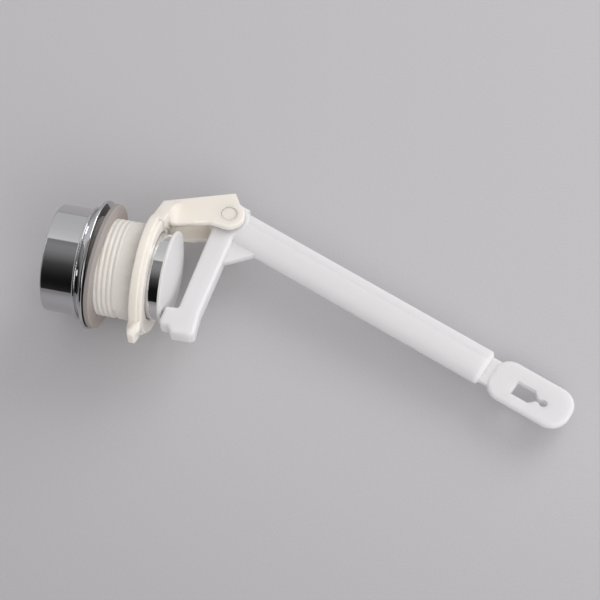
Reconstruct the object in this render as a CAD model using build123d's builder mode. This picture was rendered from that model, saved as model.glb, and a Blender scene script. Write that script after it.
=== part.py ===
# Flush push button for a cistern wall: chrome bezel nut, gasket, threaded body with a hinge bracket,
# button with a domed plug, and a bell-crank lever on a pivot pin.
# Millimetres. Y runs along the button's axis into the tank, Z is up, X is along the pivot pin.
# y = 0 is the gasket's rear face, which seats on the outside of the tank wall.
import os
from math import acos, asin, atan2, cos, hypot, radians, sin

from build123d import *

# Push button
button_r = 16.0
button_wall = 1.6
head_lip = 1.3
head_t = 2.4
head_gap = 0.3
head_edge_r = 0.6
face_set = 0.2
face_crown = 0.9

# Body sleeve and its thread
slide_gap = 0.3
sleeve_wall = 1.2
sleeve_front_y = -10.05
thread_depth = 0.5
thread_pitch = 1.8
thread_lead = 1.55
thread_end_y = 6.8
tooth_gap = 0.2
tooth_crest_w = 0.8
tooth_sink = 0.2
shoulder_run = 0.8

# Body ring behind the tank wall
wall_room = 13.5
ring_w = 4.4
ring_rim_t = 3.3
ring_step = 1.0
ring_t = 4.7
ring_edge_r = 0.6

# Locating lug under the ring
lug_w = 5.8
lug_t = 4.3
lug_set = 0.1
lug_neck = 2.2
lug_foot_len = 3.2
lug_taper = 1.0
lug_edge_r = 0.5

# Pivot of the lever, from the ring's rear face and the sleeve's outside
pivot_reach = 20.7
pivot_rise = 9.6
pin_r = 3.0
pin_recess = 0.2
pin_chamfer = 0.25
pin_gap = 0.06

# Hinge bracket: two cheeks and the web that joins them at the front
bracket_gap = 8.8
cheek_t = 2.4
cheek_set = 0.2
cheek_front_h = 10.2
cheek_peak_run = 0.4
cheek_peak_h = 9.4
cheek_waist_run = 5.9
cheek_waist_drop = 5.0
cheek_foot_run = 3.5
cheek_boss_r = 5.8
cheek_edge_r = 0.5
web_t = 5.0
web_edge_r = 0.6
web_sink = 0.25
web_blend_r = 9.0
web_overlap = 0.5

# Gasket
gasket_t = 1.9
gasket_play = 1.25
gasket_gap = 0.1
gasket_w = 5.1
gasket_edge_r = 0.4

# Chrome bezel nut
bezel_wall = 1.5
bezel_len = 12.2
bezel_edge_r = 0.7
bezel_thread_gap = 0.3
bezel_relief = 0.6
lip_h = 1.3
lip_t = 1.3
lip_gap = 2.2
lip_edge_r = 0.5
cove_r = 1.6
flange_w = 4.2
flange_t = 1.2
flange_edge_r = 0.45

# Domed plug on the button's rear end
dome_stand = 4.4
dome_lip = 1.3
dome_rim_t = 1.2
dome_rise = 2.6
dome_edge_r = 0.5
plug_depth = 6.0
plug_wall = 1.8

# Lever: hub and long arm, with u measured along the arm from the pivot and v across it
arm_slope = 21.7
hub_r = 7.6
hub_blend_r = 2.5
stop_u = 4.0
stop_v = 7.6
stop_round_r = 0.8
side_gap = 1.0
arm_len = 110.6
arm_top_v = 5.9
arm_bottom_v = -7.0
arm_band = 3.1
arm_step = 0.5
arm_step_run = 1.6
arm_inset = 0.1
arm_under_flat = 0.6
arm_under_h = 5.2
arm_end_r = 1.5

# Lever: paddle with the chain's keyhole
neck_len = 2.4
neck_w = 10.6
neck_t = 2.0
paddle_len = 31.3
paddle_t = 2.8
paddle_w = 16.4
paddle_v = -0.3
paddle_tip_r = 7.0
paddle_back_r = 6.0
paddle_edge_r = 1.1
key_inset = 9.6
key_v = -1.3
key_len = 6.8
key_w = 6.0
key_tip_len = 2.8
key_slit_w = 1.6
chain_hole_step = 1.8
chain_hole_r = 1.5

# Lever: shank, foot and gusset, the foot measured from the edge of the dome that it bears on
shank_w = 9.0
shank_foot_w = 8.1
shank_lead = 4.9
shank_edge_r = 1.2
foot_depth = 6.0
foot_nose = 1.15
foot_heel = 0.6
foot_step = 3.8
foot_toe_run = 0.9
foot_inside = 3.9
foot_bend = 0.3
foot_heel_drop = 6.2
foot_step_drop = 7.5
foot_sole_drop = 10.0
foot_round_r = 0.9
gusset_t = 3.0
gusset_drop = 18.8
gusset_far_u = 18.2

# Radii about the button's axis
head_r = button_r + head_lip
dome_r = button_r + dome_lip
plug_r = button_r - button_wall
bore_r = button_r + slide_gap
root_r = bore_r + sleeve_wall
thread_r = root_r + thread_depth
ring_r = thread_r + ring_w
gasket_bore_r = thread_r + gasket_gap
gasket_r = gasket_bore_r + gasket_w
bezel_bore_r = thread_r + bezel_thread_gap
bezel_r = bezel_bore_r + bezel_wall
lip_r = bezel_r + lip_h
flange_r = bezel_r + flange_w

# Stations along the button's axis
flange_back_y = -gasket_t - gasket_play
flange_front_y = flange_back_y - flange_t
lip_back_y = flange_front_y - lip_gap
lip_front_y = lip_back_y - lip_t
bezel_front_y = lip_front_y - bezel_len
face_y = bezel_front_y + face_set
relief_y = sleeve_front_y - bezel_relief
ring_front_y = wall_room
ring_back_y = ring_front_y + ring_t
lug_front_y = ring_front_y + lug_set
cheek_front_y = ring_front_y + cheek_set
button_end_y = ring_back_y + dome_stand
dome_edge_y = button_end_y + dome_rim_t
dome_top_y = dome_edge_y + dome_rise

# The bracket, the lever's pivot and the lever's foot
pivot_y = ring_back_y + pivot_reach
pivot_z = thread_r + pivot_rise
cheek_in = bracket_gap / 2
cheek_out = cheek_in + cheek_t
cheek_front_z = thread_r + cheek_front_h
web_back_y = cheek_front_y + web_t
web_turn = atan2(cheek_out, cheek_front_z) + acos((ring_r - web_sink) / hypot(cheek_out, cheek_front_z))
web_foot_x = (ring_r - web_sink) * sin(web_turn)
web_foot_z = (ring_r - web_sink) * cos(web_turn)
lug_shoulder_z = -ring_r - lug_neck
lug_foot_z = lug_shoulder_z - lug_foot_len
lever_t = bracket_gap - 2 * side_gap
arm_t = lever_t - 2 * arm_inset
arm_under_r = (arm_t - arm_under_flat) / 2
shank_top_y = pivot_y - shank_lead
shank_low_y = dome_edge_y + foot_depth
gusset_low_z = pivot_z - gusset_drop
foot_top_z = foot_inside - dome_r
shank_low_z = foot_top_z + foot_bend
foot_step_z = foot_top_z - foot_step_drop
foot_sole_z = foot_top_z - foot_sole_drop
foot_heel_y = dome_edge_y + foot_heel
foot_step_y = dome_edge_y + foot_step
foot_back_y = shank_low_y + shank_foot_w
paddle_start_u = arm_len + neck_len
key_start_u = paddle_start_u + key_inset
key_end_u = key_start_u + key_len
chain_hole_u = key_end_u + key_tip_len + chain_hole_step

# The pivot's axis, the lever's side with x along the long arm, and the arm's cross-section
slope = radians(arm_slope)
pivot = (0, pivot_y, pivot_z)
pivot_axis = Plane(origin=pivot, x_dir=(0, 1, 0), z_dir=(1, 0, 0))
arm_side = Plane(origin=pivot, x_dir=(0, cos(slope), -sin(slope)), z_dir=(1, 0, 0))
arm_section = Plane(origin=pivot, x_dir=(-1, 0, 0), z_dir=(0, cos(slope), -sin(slope)))

os.makedirs("parts", exist_ok=True)


def cap_middle(radius, rise):
    """Half-way point of a shallow cap's arc: its distance from the axis and its drop from the crown."""
    ball_r = (radius**2 + rise**2) / (2 * rise)
    half = asin(radius / ball_r) / 2
    return ball_r * sin(half), ball_r * (1 - cos(half))


with BuildPart() as gasket:
    with BuildSketch(Plane.XY) as section:
        with Locations((gasket_bore_r, 0)):
            Rectangle(gasket_w, gasket_t, align=(Align.MIN, Align.MAX))
        fillet(section.vertices().group_by(Axis.X)[-1], gasket_edge_r)
    revolve(axis=Axis.Y)

with BuildPart() as bezel_nut:
    with BuildSketch(Plane.XY) as section:
        with BuildLine():
            Polyline(
                (head_r + head_gap, bezel_front_y),
                (bezel_r, bezel_front_y),
                (bezel_r, lip_front_y),
                (lip_r, lip_front_y),
                (lip_r, lip_back_y),
                (bezel_r, lip_back_y),
                (bezel_r, flange_front_y),
                (flange_r, flange_front_y),
                (flange_r, flange_back_y),
                (bezel_bore_r, flange_back_y),
                (bezel_bore_r, relief_y),
                (head_r + head_gap, relief_y),
                close=True,
            )
        make_face()
        fillet(section.vertices().group_by(Axis.Y)[0], bezel_edge_r)
        lip_corners = section.vertices().filter_by_position(Axis.Y, lip_front_y, lip_back_y)
        fillet(lip_corners.group_by(Axis.X)[-1], lip_edge_r)
        fillet(section.vertices().group_by(Axis.X)[-1], flange_edge_r)
        fillet(section.vertices().sort_by_distance((bezel_r, flange_front_y))[0], cove_r)
    revolve(axis=Axis.Y)

with BuildPart() as body:
    with BuildSketch(Plane.XY) as section:
        with BuildLine():
            Polyline(
                (bore_r, sleeve_front_y),
                (root_r, sleeve_front_y),
                (root_r, thread_end_y),
                (thread_r, thread_end_y + shoulder_run),
                (thread_r, ring_front_y),
                (ring_r, ring_front_y),
                (ring_r, ring_front_y + ring_rim_t),
                (ring_r - ring_step, ring_front_y + ring_rim_t),
                (ring_r - ring_step, ring_back_y),
                (bore_r, ring_back_y),
                close=True,
            )
        make_face()
        fillet(section.vertices().group_by(Axis.X)[-1], ring_edge_r)
        fillet(section.vertices().group_by(Axis.Y)[-1], ring_edge_r)
    revolve(axis=Axis.Y)
    with BuildPart(mode=Mode.PRIVATE) as lug:
        with BuildSketch(Plane.YZ.offset(-lug_w / 2)):
            with BuildLine():
                Polyline(
                    (lug_front_y, -thread_r),
                    (lug_front_y, lug_shoulder_z),
                    (lug_front_y + lug_taper, lug_foot_z),
                    (lug_front_y + lug_t - lug_taper, lug_foot_z),
                    (lug_front_y + lug_t, lug_shoulder_z),
                    (lug_front_y + lug_t, -thread_r),
                    close=True,
                )
            make_face()
        extrude(amount=lug_w)
        fillet(lug.faces().sort_by(Axis.Z)[0].edges(), lug_edge_r)
    add(lug.part)
    with BuildSketch(Plane.YZ.offset(cheek_in), mode=Mode.PRIVATE) as cheek_outline:
        with BuildLine():
            Polyline(
                (cheek_front_y, thread_r),
                (cheek_front_y, cheek_front_z),
                (pivot_y + cheek_peak_run, pivot_z + cheek_peak_h),
                (pivot_y + cheek_boss_r, pivot_z),
                (pivot_y, pivot_z - cheek_boss_r),
                (pivot_y - cheek_waist_run, pivot_z - cheek_waist_drop),
                (ring_front_y + cheek_foot_run, thread_r),
                close=True,
            )
        make_face()
        with Locations((pivot_y, pivot_z)):
            Circle(cheek_boss_r)
    with BuildPart(mode=Mode.PRIVATE) as cheek:
        extrude(cheek_outline.sketch, amount=cheek_t)
        fillet(cheek.faces().sort_by(Axis.X)[-1].edges(), cheek_edge_r)
    add(cheek.part)
    mirror(cheek.part, about=Plane.YZ)
    with BuildSketch(Plane.XZ.offset(-cheek_front_y), mode=Mode.PRIVATE) as web_outline:
        with BuildLine():
            Polyline(
                (-cheek_out, cheek_front_z),
                (cheek_out, cheek_front_z),
                (web_foot_x, web_foot_z),
                (-web_foot_x, web_foot_z),
                close=True,
            )
        make_face()
        Circle(thread_r, mode=Mode.SUBTRACT)
    with BuildPart(mode=Mode.PRIVATE) as web:
        extrude(web_outline.sketch, amount=-web_t)
        slants = web.faces().filter_by(lambda face: face.normal_at().Z > 0.1 and abs(face.normal_at().X) > 0.1)
        fillet(slants.edges().filter_by(GeomType.LINE).filter_by(Axis.Y, reverse=True), web_edge_r)
    add(web.part)
    with BuildPart(mode=Mode.PRIVATE) as web_blend:
        with BuildSketch(Plane.XY):
            with BuildLine():
                Polyline(
                    (cheek_out, web_back_y + web_blend_r),
                    (cheek_out - web_overlap, web_back_y + web_blend_r),
                    (cheek_out - web_overlap, web_back_y - web_overlap),
                    (cheek_out + web_blend_r, web_back_y - web_overlap),
                    (cheek_out + web_blend_r, web_back_y),
                )
                RadiusArc(
                    (cheek_out + web_blend_r, web_back_y),
                    (cheek_out, web_back_y + web_blend_r),
                    -web_blend_r,
                )
            make_face()
        extrude(amount=cheek_front_z)
        extrude(web_outline.sketch, amount=-web_t - web_blend_r, mode=Mode.INTERSECT)
        extrude(cheek_outline.sketch, amount=cheek_t + web_blend_r, mode=Mode.INTERSECT)
    add(web_blend.part)
    mirror(web_blend.part, about=Plane.YZ)
    with Locations(pivot_axis):
        Cylinder(pin_r, 4 * cheek_out, mode=Mode.SUBTRACT)
    with BuildLine() as thread_path:
        Helix(
            pitch=thread_pitch,
            height=thread_end_y - sleeve_front_y - thread_lead,
            radius=root_r,
            center=(0, sleeve_front_y + thread_lead, 0),
            direction=(0, 1, 0),
        )
    start = thread_path.line @ 0
    with BuildSketch(Plane(origin=start, x_dir=(start.X, 0, start.Z), z_dir=thread_path.line % 0)):
        with BuildLine():
            Polyline(
                (-tooth_sink, (tooth_gap - thread_pitch) / 2),
                (thread_depth, -tooth_crest_w / 2),
                (thread_depth, tooth_crest_w / 2),
                (-tooth_sink, (thread_pitch - tooth_gap) / 2),
                close=True,
            )
        make_face()
    sweep(path=thread_path.line, is_frenet=True)

with BuildPart() as pivot_pin:
    with Locations(pivot_axis):
        Cylinder(pin_r, 2 * (cheek_out - pin_recess))
    chamfer(pivot_pin.edges().filter_by(GeomType.CIRCLE), pin_chamfer)

with BuildPart() as push_button:
    with BuildSketch(Plane.XY) as section:
        with BuildLine():
            Polyline(
                (0, face_y - face_crown),
                (0, face_y + button_wall),
                (plug_r, face_y + button_wall),
                (plug_r, button_end_y),
                (button_r, button_end_y),
                (button_r, face_y + head_t),
                (head_r, face_y + head_t),
                (head_r, face_y),
            )
            mid_r, mid_drop = cap_middle(head_r, face_crown)
            ThreePointArc(
                (head_r, face_y),
                (mid_r, face_y - face_crown + mid_drop),
                (0, face_y - face_crown),
            )
        make_face()
        fillet(section.vertices().sort_by_distance((head_r, face_y))[0], head_edge_r)
    revolve(axis=Axis.Y)

with BuildPart() as button_dome:
    with BuildSketch(Plane.XY) as section:
        with BuildLine():
            Polyline(
                (0, dome_top_y),
                (0, button_end_y),
                (plug_r - plug_wall, button_end_y),
                (plug_r - plug_wall, button_end_y - plug_depth),
                (plug_r, button_end_y - plug_depth),
                (plug_r, button_end_y),
                (dome_r, button_end_y),
                (dome_r, dome_edge_y),
            )
            mid_r, mid_drop = cap_middle(dome_r, dome_rise)
            ThreePointArc((dome_r, dome_edge_y), (mid_r, dome_top_y - mid_drop), (0, dome_top_y))
        make_face()
        fillet(section.vertices().group_by(Axis.X)[-1], dome_edge_r)
    revolve(axis=Axis.Y)

with BuildPart() as lever:
    with BuildSketch(Plane.YZ.offset(-lever_t / 2)) as crank:
        with BuildLine():
            Polyline(
                (shank_top_y, pivot_z),
                (shank_low_y, shank_low_z),
                (dome_edge_y + foot_nose, foot_top_z),
                (foot_heel_y, foot_top_z - foot_heel_drop),
                (foot_heel_y + foot_toe_run, foot_step_z),
                (foot_step_y, foot_step_z),
                (foot_step_y + 2 * foot_toe_run, foot_sole_z),
                (foot_back_y - 2 * foot_toe_run, foot_sole_z),
                (foot_back_y, foot_sole_z + foot_toe_run),
                (foot_back_y, shank_low_z),
                (shank_top_y + shank_w, pivot_z),
                close=True,
            )
        make_face()
        fillet(crank.vertices().filter_by_position(Axis.Y, foot_sole_z, foot_top_z), foot_round_r)
        fillet(crank.vertices().sort_by_distance((shank_low_y, shank_low_z))[0], foot_round_r)
        with Locations((pivot_y, pivot_z)):
            Circle(hub_r)
        with Locations(Location((pivot_y, pivot_z), -arm_slope)):
            Rectangle(stop_u, stop_v, align=(Align.MIN, Align.MIN))
        fillet(crank.vertices().group_by(Axis.Y)[-1], stop_round_r)
        fillet(crank.vertices().filter_by_position(Axis.Y, gusset_low_z, pivot_z), hub_blend_r)
    extrude(amount=lever_t)
    sides = lever.faces().filter_by(Axis.X)
    fillet(sides.sort_by(Axis.X)[0].edges() + sides.sort_by(Axis.X)[-1].edges(), shank_edge_r)
    with BuildPart(mode=Mode.PRIVATE) as arm:
        with BuildSketch(arm_section) as section:
            with BuildLine():
                Polyline(
                    (-arm_t / 2, arm_bottom_v + arm_under_h),
                    (-arm_t / 2, arm_top_v - arm_band - arm_step_run),
                    (arm_step - arm_t / 2, arm_top_v - arm_band),
                    (arm_step - arm_t / 2, arm_top_v),
                    (arm_t / 2 - arm_step, arm_top_v),
                    (arm_t / 2 - arm_step, arm_top_v - arm_band),
                    (arm_t / 2, arm_top_v - arm_band - arm_step_run),
                    (arm_t / 2, arm_bottom_v + arm_under_h),
                )
                Line((-arm_under_flat / 2, arm_bottom_v), (arm_under_flat / 2, arm_bottom_v))
                EllipticalCenterArc(
                    (arm_under_flat / 2, arm_bottom_v + arm_under_h), arm_under_r, arm_under_h, 270, arc_size=90
                )
                EllipticalCenterArc(
                    (-arm_under_flat / 2, arm_bottom_v + arm_under_h), arm_under_r, arm_under_h, 180, arc_size=90
                )
            make_face()
        extrude(amount=arm_len)
        fillet(arm.faces().sort_by(Axis.Y)[-1].edges(), arm_end_r)
    add(arm.part)
    with BuildPart(mode=Mode.PRIVATE) as paddle:
        with BuildSketch(arm_side.offset(-paddle_t / 2)) as blade:
            with Locations((paddle_start_u, paddle_v)):
                Rectangle(paddle_len, paddle_w, align=(Align.MIN, Align.CENTER))
            fillet(blade.vertices().group_by(Axis.X)[-1], paddle_tip_r)
            fillet(blade.vertices().group_by(Axis.X)[0], paddle_back_r)
        extrude(amount=paddle_t)
        sides = paddle.faces().filter_by(Axis.X)
        fillet(sides.sort_by(Axis.X)[0].edges() + sides.sort_by(Axis.X)[-1].edges(), paddle_edge_r)
    add(paddle.part)
    with BuildSketch(arm_side.offset(-neck_t / 2)):
        with Locations((arm_len - arm_end_r, paddle_v)):
            Rectangle(arm_end_r + neck_len + paddle_back_r, neck_w, align=(Align.MIN, Align.CENTER))
    extrude(amount=neck_t)
    with BuildSketch(arm_side.offset(-gusset_t / 2)):
        corner = arm_side.to_local_coords(Vector(0, shank_top_y + shank_w / 2, gusset_low_z))
        with BuildLine():
            Polyline((0, 0), (corner.X, corner.Y), (gusset_far_u, arm_bottom_v + arm_under_r), close=True)
        make_face()
    extrude(amount=gusset_t)
    with BuildSketch(arm_side.offset(-paddle_t)):
        with BuildLine():
            Polyline(
                (key_start_u, key_v - key_w / 2),
                (key_end_u, key_v - key_w / 2),
                (key_end_u + key_tip_len, key_v),
                (key_end_u, key_v + key_w / 2),
                (key_start_u, key_v + key_w / 2),
                close=True,
            )
        make_face()
        with Locations((key_start_u, key_v)):
            Rectangle(chain_hole_u - key_start_u, key_slit_w, align=(Align.MIN, Align.CENTER))
        with Locations((chain_hole_u, key_v)):
            Circle(chain_hole_r)
    extrude(amount=2 * paddle_t, mode=Mode.SUBTRACT)
    with Locations(pivot_axis):
        Cylinder(pin_r + pin_gap, 2 * lever_t, mode=Mode.SUBTRACT)

bezel_nut.part.label = "bezel_nut"
export_step(bezel_nut.part, "parts/bezel_nut.step")
gasket.part.label = "gasket"
export_step(gasket.part, "parts/gasket.step")
body.part.label = "body"
export_step(body.part, "parts/body.step")
pivot_pin.part.label = "pivot_pin"
export_step(pivot_pin.part, "parts/pivot_pin.step")
push_button.part.label = "push_button"
export_step(push_button.part, "parts/push_button.step")
button_dome.part.label = "button_dome"
export_step(button_dome.part, "parts/button_dome.step")
lever.part.label = "lever"
export_step(lever.part, "parts/lever.step")
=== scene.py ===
# Flush push button with its bell-crank lever, lying on its side on pale paper under soft studio light.
# Metres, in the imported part's frame: Y along the button's axis into the tank, Z up, X along the pivot pin.
from math import atan2, cos, pi, radians, sin

import bmesh
import bpy
from mathutils import Matrix, Vector


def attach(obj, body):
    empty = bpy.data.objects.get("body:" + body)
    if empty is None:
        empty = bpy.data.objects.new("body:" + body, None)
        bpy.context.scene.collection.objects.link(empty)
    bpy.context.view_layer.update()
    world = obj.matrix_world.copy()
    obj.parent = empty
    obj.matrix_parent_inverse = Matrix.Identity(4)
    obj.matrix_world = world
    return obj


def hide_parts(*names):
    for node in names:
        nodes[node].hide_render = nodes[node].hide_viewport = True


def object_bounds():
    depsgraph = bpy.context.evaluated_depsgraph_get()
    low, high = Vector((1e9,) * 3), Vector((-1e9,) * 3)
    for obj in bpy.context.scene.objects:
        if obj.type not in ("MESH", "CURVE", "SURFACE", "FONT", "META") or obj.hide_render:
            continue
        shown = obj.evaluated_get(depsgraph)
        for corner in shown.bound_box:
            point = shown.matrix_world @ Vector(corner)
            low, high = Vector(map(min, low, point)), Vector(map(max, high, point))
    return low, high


# Camera, at the photograph's place
CAMERA_PLACE = Vector((0.52756, 0.14003, -0.30637))
CAMERA_AIM = Vector((-0.00490, 0.07071, 0.00363))
CAMERA_UP = Vector((0.5123, -0.1793, 0.8399))
CAMERA_SENSOR = 36.0
CAMERA_LENS = 102.08

# Paper under the part: its normal and half its width, its grey, and the darker grey of painted shade that it
# takes on over a stretch towards one side, standing in for the light falling off there, and how far its
# flecks lighten or darken it
PAPER_NORMAL = Vector((0.967, -0.124, -0.200)).normalized()
PAPER_HALF = 5.0
PAPER_GREY = (0.605, 0.593, 0.608)
PAPER_PAINTED_SHADE = (0.38, 0.372, 0.383)
PAPER_PAINTED_SHADE_SIDE = Vector((-0.20, -0.10, -0.975))
PAPER_PAINTED_SHADE_START = 0.02
PAPER_PAINTED_SHADE_END = 0.28
PAPER_FLECK_DARK = 0.90
PAPER_FLECK_LIGHT = 1.10

# Finishes: the plating of the bezel and of the button, and each moulding's two near colours,
# with the depth to which light enters the plastics, and the share of the noise at which a patch
# of haze starts and is full
BEZEL_PLATING = (0.62, 0.62, 0.635, 1.0)
BUTTON_PLATING = (0.71, 0.71, 0.72, 1.0)
IVORY_COLOUR = (0.905, 0.86, 0.795, 1.0)
IVORY_CLOUD = (0.89, 0.83, 0.75, 1.0)
IVORY_DEPTH = 0.0022
WHITE_COLOUR = (0.785, 0.775, 0.78, 1.0)
WHITE_CLOUD = (0.765, 0.755, 0.762, 1.0)
WHITE_DEPTH = 0.0060
RUBBER_COLOUR = (0.46, 0.415, 0.395, 1.0)
RUBBER_CLOUD = (0.40, 0.355, 0.33, 1.0)
RUBBER_WALL_GREY = (0.345, 0.32, 0.305, 1.0)
HAZE_START = 0.35
HAZE_FULL = 0.65

# Gasket: how it leans on the thread, in metres along the axis per metre across, and its unevenness
GASKET_LEAN_X = 0.0122
GASKET_LEAN_Z = 0.0447
GASKET_WAVE = 0.00012
GASKET_WAVES = 3
GASKET_WAVE_START = 1.0

# Bracket of the body: its cheeks' outer faces, the back of the web that joins them to the ring,
# the web's slanted side in x and z, the cheeks' lower edge in y and z, and the hollow curve
# in which a cheek meets the web, with its sink into both and its inset from their edges
CHEEK_FACE = 0.0068
WEB_BACK = 0.0187
WEB_TOP = Vector((0.0068, 0.0282))
WEB_FOOT = Vector((0.01787, 0.01309))
CHEEK_FOOT = Vector((0.0170, 0.0180))
CHEEK_WAIST = Vector((0.0330, 0.0226))
FLARE_R = 0.0030
FLARE_STEPS = 16
FLARE_SINK = 0.0005
FLARE_INSET = 0.00003
TRIM_REACH = 0.0150
TRIM_CLEAR = 0.00001

# Meshes: corners nearer than this are one, and edges that bend more than this stay sharp
WELD = 0.000001
SHARP_EDGE = radians(30)

# Studio: a soft light that grows towards the lever's end, the room that the chrome shows, as greys
# at places from its dark side to its bright side, and two panels of light
ROOM_DIM = (0.278, 0.275, 0.277)
ROOM_BRIGHT = (0.935, 0.924, 0.932)
BACKDROP_GREY = (0.52, 0.51, 0.525)
ROOM_LIGHT_SIDE = Vector((-0.132, -0.210, 0.969))
REFLECTED_GREYS = [
    (0.05, 0.008),
    (0.10, 0.035),
    (0.16, 0.07),
    (0.25, 0.19),
    (0.33, 0.27),
    (0.42, 0.30),
    (0.515, 0.25),
    (0.535, 0.80),
    (0.62, 0.72),
    (0.75, 0.66),
    (1.0, 0.60),
]
KEY_SIDE = Vector((0.700, 0.450, 0.550))
KEY_WATTS = 4.9
FILL_SIDE = Vector((0.540, 0.500, -0.680))
FILL_WATTS = 3.5
PANEL_AWAY = 1.2
PANEL_SIZE = 0.8

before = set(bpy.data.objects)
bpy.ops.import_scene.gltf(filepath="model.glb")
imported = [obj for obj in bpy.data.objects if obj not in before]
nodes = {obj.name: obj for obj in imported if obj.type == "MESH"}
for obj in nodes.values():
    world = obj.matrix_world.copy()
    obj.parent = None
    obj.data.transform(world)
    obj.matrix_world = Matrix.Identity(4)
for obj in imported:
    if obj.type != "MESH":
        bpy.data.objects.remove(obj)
cad_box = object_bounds()


def add_group(name, inputs, outputs):
    """An empty shader node group with named sockets, and its input and output nodes."""
    group = bpy.data.node_groups.new(name, "ShaderNodeTree")
    for label, kind, value in inputs:
        socket = group.interface.new_socket(label, in_out="INPUT", socket_type=kind)
        socket.default_value = value
    for label, kind in outputs:
        group.interface.new_socket(label, in_out="OUTPUT", socket_type=kind)
    return group, group.nodes.new("NodeGroupInput"), group.nodes.new("NodeGroupOutput")


def add_noise(tree, scale, detail, roughness=0.5):
    """A noise texture on the object's own coordinates, so that it stays on the piece when it moves."""
    place = tree.nodes.new("ShaderNodeTexCoord")
    noise = tree.nodes.new("ShaderNodeTexNoise")
    noise.inputs["Detail"].default_value = detail
    noise.inputs["Roughness"].default_value = roughness
    tree.links.new(place.outputs["Object"], noise.inputs["Vector"])
    if isinstance(scale, bpy.types.NodeSocket):
        tree.links.new(scale, noise.inputs["Scale"])
    else:
        noise.inputs["Scale"].default_value = scale
    return noise.outputs["Fac"]


def make_handling_haze():
    """Faint uneven gloss from handling: a roughness between two limits, in soft patches."""
    group, given, result = add_group(
        "handling_haze",
        [
            ("Scale", "NodeSocketFloat", 60.0),
            ("Smooth", "NodeSocketFloat", 0.1),
            ("Dull", "NodeSocketFloat", 0.2),
        ],
        [("Roughness", "NodeSocketFloat")],
    )
    patches = add_noise(group, given.outputs["Scale"], detail=4.0, roughness=0.6)
    spread = group.nodes.new("ShaderNodeMapRange")
    spread.inputs["From Min"].default_value = HAZE_START
    spread.inputs["From Max"].default_value = HAZE_FULL
    group.links.new(patches, spread.inputs["Value"])
    group.links.new(given.outputs["Smooth"], spread.inputs["To Min"])
    group.links.new(given.outputs["Dull"], spread.inputs["To Max"])
    group.links.new(spread.outputs["Result"], result.inputs["Roughness"])
    return group


def make_moulded_mottle():
    """Slight cloudiness of moulded plastic or rubber: two near colours in soft patches, and a fine skin."""
    group, given, result = add_group(
        "moulded_mottle",
        [
            ("Colour", "NodeSocketColor", (0.8, 0.8, 0.8, 1.0)),
            ("Cloud", "NodeSocketColor", (0.7, 0.7, 0.7, 1.0)),
            ("Cloud Scale", "NodeSocketFloat", 80.0),
            ("Skin Scale", "NodeSocketFloat", 900.0),
        ],
        [("Colour", "NodeSocketColor"), ("Skin", "NodeSocketFloat")],
    )
    clouds = add_noise(group, given.outputs["Cloud Scale"], detail=3.0, roughness=0.55)
    blend = group.nodes.new("ShaderNodeMix")
    blend.data_type = "RGBA"
    group.links.new(clouds, blend.inputs["Factor"])
    group.links.new(given.outputs["Colour"], blend.inputs["A"])
    group.links.new(given.outputs["Cloud"], blend.inputs["B"])
    skin = add_noise(group, given.outputs["Skin Scale"], detail=2.0)
    group.links.new(blend.outputs["Result"], result.inputs["Colour"])
    group.links.new(skin, result.inputs["Skin"])
    return group


HAZE = make_handling_haze()
MOTTLE = make_moulded_mottle()


def place_group(material, group, **values):
    """The node of a shared group in a material, with this material's own values."""
    node = material.node_tree.nodes.new("ShaderNodeGroup")
    node.node_tree = group
    for label, value in values.items():
        node.inputs[label.replace("_", " ")].default_value = value
    return node


def new_material(name):
    """A material with only its Principled shader, and that shader."""
    material = bpy.data.materials.new(name)
    material.use_nodes = True
    return material, material.node_tree.nodes["Principled BSDF"]


def add_skin(material, shader, height, distance, strength=1.0):
    """Fine relief on the surface, up to that distance in metres."""
    bump = material.node_tree.nodes.new("ShaderNodeBump")
    bump.inputs["Distance"].default_value = distance
    bump.inputs["Strength"].default_value = strength
    material.node_tree.links.new(height, bump.inputs["Height"])
    material.node_tree.links.new(bump.outputs["Normal"], shader.inputs["Normal"])


def make_chrome_plate(name, colour):
    """Bright plating on moulded plastic: a near mirror with a trace of haze and of waviness."""
    material, shader = new_material(name)
    shader.inputs["Base Color"].default_value = colour
    shader.inputs["Metallic"].default_value = 1.0
    haze = place_group(material, HAZE, Scale=90.0, Smooth=0.03, Dull=0.06)
    material.node_tree.links.new(haze.outputs["Roughness"], shader.inputs["Roughness"])
    ripple = add_noise(material.node_tree, scale=140.0, detail=2.0)
    add_skin(material, shader, ripple, distance=0.00002, strength=0.5)
    return material


def make_plastic(name, colour, cloud, depth):
    """Glossy moulded plastic that lets a little light in."""
    material, shader = new_material(name)
    mottle = place_group(material, MOTTLE, Colour=colour, Cloud=cloud, Cloud_Scale=40.0, Skin_Scale=500.0)
    haze = place_group(material, HAZE, Scale=60.0, Smooth=0.30, Dull=0.36)
    links = material.node_tree.links
    links.new(mottle.outputs["Colour"], shader.inputs["Base Color"])
    links.new(haze.outputs["Roughness"], shader.inputs["Roughness"])
    shader.inputs["Subsurface Weight"].default_value = 1.0
    shader.inputs["Subsurface Radius"].default_value = (1.0, 1.0, 1.0)
    shader.inputs["Subsurface Scale"].default_value = depth
    shader.inputs["IOR"].default_value = 1.5
    shader.inputs["Specular IOR Level"].default_value = 0.25
    add_skin(material, shader, mottle.outputs["Skin"], distance=0.000004, strength=0.4)
    return material


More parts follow.
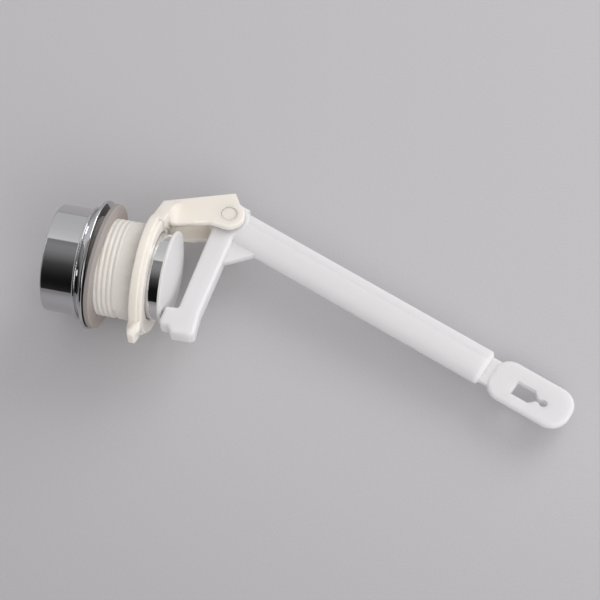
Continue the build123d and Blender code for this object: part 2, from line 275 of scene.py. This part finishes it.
def make_gasket_rubber():
    """Matte grey-brown foam rubber with fine pores, darker on its round walls than on its flat faces."""
    material, shader = new_material("gasket_rubber")
    face = place_group(
        material,
        MOTTLE,
        Colour=RUBBER_COLOUR,
        Cloud=RUBBER_CLOUD,
        Cloud_Scale=160.0,
        Skin_Scale=1800.0,
    )
    tree = material.node_tree
    place = tree.nodes.new("ShaderNodeTexCoord")
    split = tree.nodes.new("ShaderNodeSeparateXYZ")
    tree.links.new(place.outputs["Normal"], split.inputs["Vector"])
    # the round walls, whose normals lie across the axis, take the darker grey; the flat faces keep the
    # mottled colour
    flat = tree.nodes.new("ShaderNodeMath")
    flat.operation = "ABSOLUTE"
    tree.links.new(split.outputs["Y"], flat.inputs[0])
    edge = tree.nodes.new("ShaderNodeMix")
    edge.data_type = "RGBA"
    edge.inputs["A"].default_value = RUBBER_WALL_GREY
    tree.links.new(flat.outputs["Value"], edge.inputs["Factor"])
    tree.links.new(face.outputs["Colour"], edge.inputs["B"])
    tree.links.new(edge.outputs["Result"], shader.inputs["Base Color"])
    haze = place_group(material, HAZE, Scale=200.0, Smooth=0.62, Dull=0.8)
    tree.links.new(haze.outputs["Roughness"], shader.inputs["Roughness"])
    add_skin(material, shader, face.outputs["Skin"], distance=0.00006, strength=0.7)
    return material


def make_paper():
    """Plain pale paper with a fine grain, with painted shade that darkens it a little towards one side,
    clear from behind.
    """
    material, shader = new_material("pale_paper")
    shader.inputs["Roughness"].default_value = 0.9
    shader.inputs["Specular IOR Level"].default_value = 0.1
    tree = material.node_tree
    place = tree.nodes.new("ShaderNodeNewGeometry")
    # painted shade: the paper's grey falls to a darker grey towards one side, standing in for the light
    # falling off there
    along = tree.nodes.new("ShaderNodeVectorMath")
    along.operation = "DOT_PRODUCT"
    along.inputs[1].default_value = PAPER_PAINTED_SHADE_SIDE.normalized()
    tree.links.new(place.outputs["Position"], along.inputs[0])
    painted_shade_fall = tree.nodes.new("ShaderNodeMapRange")
    painted_shade_fall.inputs["From Min"].default_value = PAPER_PAINTED_SHADE_START
    painted_shade_fall.inputs["From Max"].default_value = PAPER_PAINTED_SHADE_END
    tree.links.new(along.outputs["Value"], painted_shade_fall.inputs["Value"])
    painted_shade = tree.nodes.new("ShaderNodeMix")
    painted_shade.data_type = "RGBA"
    painted_shade.inputs["A"].default_value = (*PAPER_GREY, 1.0)
    painted_shade.inputs["B"].default_value = (*PAPER_PAINTED_SHADE, 1.0)
    tree.links.new(painted_shade_fall.outputs["Result"], painted_shade.inputs["Factor"])
    grain = add_noise(tree, scale=1500.0, detail=3.0, roughness=0.7)
    fleck = tree.nodes.new("ShaderNodeMapRange")
    fleck.inputs["To Min"].default_value = PAPER_FLECK_DARK
    fleck.inputs["To Max"].default_value = PAPER_FLECK_LIGHT
    tree.links.new(grain, fleck.inputs["Value"])
    flecked = tree.nodes.new("ShaderNodeVectorMath")
    flecked.operation = "SCALE"
    tree.links.new(painted_shade.outputs["Result"], flecked.inputs["Vector"])
    tree.links.new(fleck.outputs["Result"], flecked.inputs["Scale"])
    tree.links.new(flecked.outputs["Vector"], shader.inputs["Base Color"])
    add_skin(material, shader, grain, distance=0.00004, strength=0.6)
    clear = tree.nodes.new("ShaderNodeBsdfTransparent")
    mix = tree.nodes.new("ShaderNodeMixShader")
    tree.links.new(place.outputs["Backfacing"], mix.inputs["Fac"])
    tree.links.new(shader.outputs["BSDF"], mix.inputs[1])
    tree.links.new(clear.outputs["BSDF"], mix.inputs[2])
    tree.links.new(mix.outputs["Shader"], tree.nodes["Material Output"].inputs["Surface"])
    return material


def hang_gasket(material):
    """The loose foam ring: it leans on the thread behind the flange, not quite flat."""
    ring = nodes["gasket"].data.copy()
    ring.name = "gasket_ring"
    for vertex in ring.vertices:
        turn = atan2(vertex.co.z, vertex.co.x)
        lean = GASKET_LEAN_X * vertex.co.x + GASKET_LEAN_Z * vertex.co.z
        vertex.co.y += lean + GASKET_WAVE * sin(GASKET_WAVES * turn + GASKET_WAVE_START)
    ring.materials.clear()
    ring.materials.append(material)
    gasket = bpy.data.objects.new("gasket_ring", ring)
    bpy.context.scene.collection.objects.link(gasket)
    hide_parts("gasket")
    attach(gasket, "housing")


def height_between(low, high, place):
    """Height at a place on the straight line through two points of an outline."""
    return low.y + (high.y - low.y) * (place - low.x) / (high.x - low.x)


def add_prism(name, outline, side):
    """A solid between two ends of an outline in x and y, on one side of the part."""
    count = len(outline)
    turned = outline[::side]
    low_end = [(side * x, y, low) for x, y, low, high in turned]
    high_end = [(side * x, y, high) for x, y, low, high in turned]
    walls = [(i, (i + 1) % count, (i + 1) % count + count, i + count) for i in range(count)]
    caps = [tuple(reversed(range(count))), tuple(range(count, 2 * count))]
    mesh = bpy.data.meshes.new(name)
    mesh.from_pydata(low_end + high_end, [], walls + caps)
    solid = bpy.data.objects.new(name, mesh)
    bpy.context.scene.collection.objects.link(solid)
    return solid


def add_trim(side):
    """The block beside a cheek and behind the web, clear of both by a hair."""
    near_x = CHEEK_FACE + TRIM_CLEAR
    near_y = WEB_BACK + TRIM_CLEAR
    low = CHEEK_FOOT.y - TRIM_REACH
    high = WEB_TOP.y + TRIM_REACH
    corners = [(0, 0), (1, 0), (1, 1), (0, 1)]
    outline = [(near_x + a * TRIM_REACH, near_y + b * TRIM_REACH, low, high) for a, b in corners]
    return add_prism("trim", outline, side)


def add_flare(side):
    """The hollow curve from a cheek to the web, between the web's slant and the cheek's lower edge."""
    curve = []
    for step in range(FLARE_STEPS + 1):
        turn = pi / 2 * step / FLARE_STEPS
        curve.append((CHEEK_FACE + FLARE_R * (1 - sin(turn)), WEB_BACK + FLARE_R * (1 - cos(turn))))
    inner_x = CHEEK_FACE - FLARE_SINK
    inner_y = WEB_BACK - FLARE_SINK
    places = [(inner_x, inner_y), (curve[0][0], inner_y)] + curve + [(inner_x, curve[-1][1])]
    outline = []
    for x, y in places:
        low = height_between(CHEEK_FOOT, CHEEK_WAIST, y) + FLARE_INSET
        high = height_between(WEB_TOP, WEB_FOOT, x) - FLARE_INSET
        outline.append((x, y, low, high))
    return add_prism("flare", outline, side)


def copy_solid(node, name):
    """A piece of its own with a solid's form, whose faces share their corners."""
    mesh = nodes[node].data.copy()
    mesh.name = name
    shape = bmesh.new()
    shape.from_mesh(mesh)
    bmesh.ops.remove_doubles(shape, verts=shape.verts, dist=WELD)
    shape.to_mesh(mesh)
    shape.free()
    piece = bpy.data.objects.new(name, mesh)
    bpy.context.scene.collection.objects.link(piece)
    return piece


def smooth_skin(piece, material):
    """Gives a piece its finish, smooth but for its real edges."""
    piece.data.materials.clear()
    piece.data.materials.append(material)
    piece.data.shade_smooth()
    piece.data.set_sharp_from_angle(angle=SHARP_EDGE)
    even = piece.modifiers.new("even_normals", "WEIGHTED_NORMAL")
    even.keep_sharp = True


def mould_body(material):
    """The body, with its two cheeks widening into the ring in a hollow curve."""
    body = copy_solid("body", "body_moulding")
    tools = []
    for side in (1, -1):
        tools += [(add_trim(side), "DIFFERENCE"), (add_flare(side), "UNION")]
    for tool, operation in tools:
        change = body.modifiers.new(tool.name, "BOOLEAN")
        change.object = tool
        change.operation = operation
        change.solver = "EXACT"
    moulded = bpy.data.meshes.new_from_object(body.evaluated_get(bpy.context.evaluated_depsgraph_get()))
    body.modifiers.clear()
    for tool, operation in tools:
        bpy.data.objects.remove(tool)
    body.data = moulded
    moulded.name = "body_moulding"
    smooth_skin(body, material)
    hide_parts("body")
    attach(body, "housing")


def plate_button(material):
    """The push button's plating, without a seam across its face."""
    button = copy_solid("push_button", "button_plating")
    smooth_skin(button, material)
    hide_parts("push_button")
    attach(button, "button")


def lowest_reach(direction):
    """How far the part reaches along a direction, from its lowest corner in the solids."""
    return min(vertex.co.dot(direction) for node in nodes.values() for vertex in node.data.vertices)


def lay_paper():
    """A wide sheet that the part rests on."""
    mesh = bpy.data.meshes.new("paper")
    corners = [(-1, -1), (1, -1), (1, 1), (-1, 1)]
    mesh.from_pydata([(a * PAPER_HALF, b * PAPER_HALF, 0) for a, b in corners], [], [(0, 1, 2, 3)])
    mesh.materials.append(make_paper())
    paper = bpy.data.objects.new("paper", mesh)
    bpy.context.scene.collection.objects.link(paper)
    paper.rotation_mode = "QUATERNION"
    paper.rotation_quaternion = PAPER_NORMAL.to_track_quat("Z", "Y")
    paper.location = PAPER_NORMAL * lowest_reach(PAPER_NORMAL)


def set_camera():
    """The photograph's view."""
    data = bpy.data.cameras.new("camera")
    data.sensor_width = CAMERA_SENSOR
    data.lens = CAMERA_LENS
    camera = bpy.data.objects.new("camera", data)
    bpy.context.scene.collection.objects.link(camera)
    back = (CAMERA_PLACE - CAMERA_AIM).normalized()
    right = CAMERA_UP.cross(back).normalized()
    up = back.cross(right)
    turn = Matrix((right, up, back)).transposed()
    camera.matrix_world = Matrix.Translation(CAMERA_PLACE) @ turn.to_4x4()
    bpy.context.scene.camera = camera


def light_room():
    """Soft light from all around, a room that only reflections show, and a plain backdrop."""
    world = bpy.data.worlds.new("room")
    bpy.context.scene.world = world
    world.use_nodes = True
    tree = world.node_tree
    place = tree.nodes.new("ShaderNodeTexCoord")
    across = tree.nodes.new("ShaderNodeVectorMath")
    across.operation = "DOT_PRODUCT"
    across.inputs[1].default_value = ROOM_LIGHT_SIDE.normalized()
    tree.links.new(place.outputs["Generated"], across.inputs[0])
    share = tree.nodes.new("ShaderNodeMapRange")
    share.inputs["From Min"].default_value = -1.0
    tree.links.new(across.outputs["Value"], share.inputs["Value"])
    ramp = tree.nodes.new("ShaderNodeValToRGB")
    while len(ramp.color_ramp.elements) < len(REFLECTED_GREYS):
        ramp.color_ramp.elements.new(0.5)
    for element, (position, grey) in zip(ramp.color_ramp.elements, REFLECTED_GREYS):
        element.position = position
        element.color = (grey, grey, grey, 1.0)
    tree.links.new(share.outputs["Result"], ramp.inputs["Fac"])
    path = tree.nodes.new("ShaderNodeLightPath")
    split = tree.nodes.new("ShaderNodeSeparateXYZ")
    tree.links.new(place.outputs["Generated"], split.inputs["Vector"])
    inward = tree.nodes.new("ShaderNodeMapRange")
    inward.inputs["From Min"].default_value = -1.0
    tree.links.new(split.outputs["Y"], inward.inputs["Value"])
    soft = tree.nodes.new("ShaderNodeMix")
    soft.data_type = "RGBA"
    soft.inputs["A"].default_value = (*ROOM_DIM, 1.0)
    soft.inputs["B"].default_value = (*ROOM_BRIGHT, 1.0)
    tree.links.new(inward.outputs["Result"], soft.inputs["Factor"])
    reflected = tree.nodes.new("ShaderNodeMix")
    reflected.data_type = "RGBA"
    tree.links.new(soft.outputs["Result"], reflected.inputs["A"])
    tree.links.new(path.outputs["Is Glossy Ray"], reflected.inputs["Factor"])
    tree.links.new(ramp.outputs["Color"], reflected.inputs["B"])
    seen = tree.nodes.new("ShaderNodeMix")
    seen.data_type = "RGBA"
    seen.inputs["B"].default_value = (*BACKDROP_GREY, 1.0)
    tree.links.new(path.outputs["Is Camera Ray"], seen.inputs["Factor"])
    tree.links.new(reflected.outputs["Result"], seen.inputs["A"])
    tree.links.new(seen.outputs["Result"], tree.nodes["Background"].inputs["Color"])


def add_panel(name, side, watts):
    """A soft panel of light on one side of the part, out of the camera's sight."""
    middle = (cad_box[0] + cad_box[1]) / 2
    data = bpy.data.lights.new(name, "AREA")
    data.shape = "SQUARE"
    data.size = PANEL_SIZE
    data.energy = watts
    panel = bpy.data.objects.new(name, data)
    bpy.context.scene.collection.objects.link(panel)
    panel.location = middle + side.normalized() * PANEL_AWAY
    panel.rotation_mode = "QUATERNION"
    panel.rotation_quaternion = (-side).to_track_quat("-Z", "Y")
    panel.visible_camera = False


def dress(material, *names):
    """Gives these solids their finish."""
    for name in names:
        nodes[name].data.materials.clear()
        nodes[name].data.materials.append(material)


chrome_plate = make_chrome_plate("chrome_plate", BEZEL_PLATING)
button_chrome = make_chrome_plate("button_chrome", BUTTON_PLATING)
ivory_plastic = make_plastic("ivory_plastic", IVORY_COLOUR, IVORY_CLOUD, IVORY_DEPTH)
white_plastic = make_plastic("white_plastic", WHITE_COLOUR, WHITE_CLOUD, WHITE_DEPTH)
dress(chrome_plate, "bezel_nut")
dress(ivory_plastic, "pivot_pin")
dress(white_plastic, "lever", "button_dome")
hang_gasket(make_gasket_rubber())
mould_body(ivory_plastic)
plate_button(button_chrome)

lay_paper()
set_camera()
light_room()
add_panel("key_panel", KEY_SIDE, KEY_WATTS)
add_panel("fill_panel", FILL_SIDE, FILL_WATTS)

bpy.context.scene.view_settings.view_transform = "Standard"
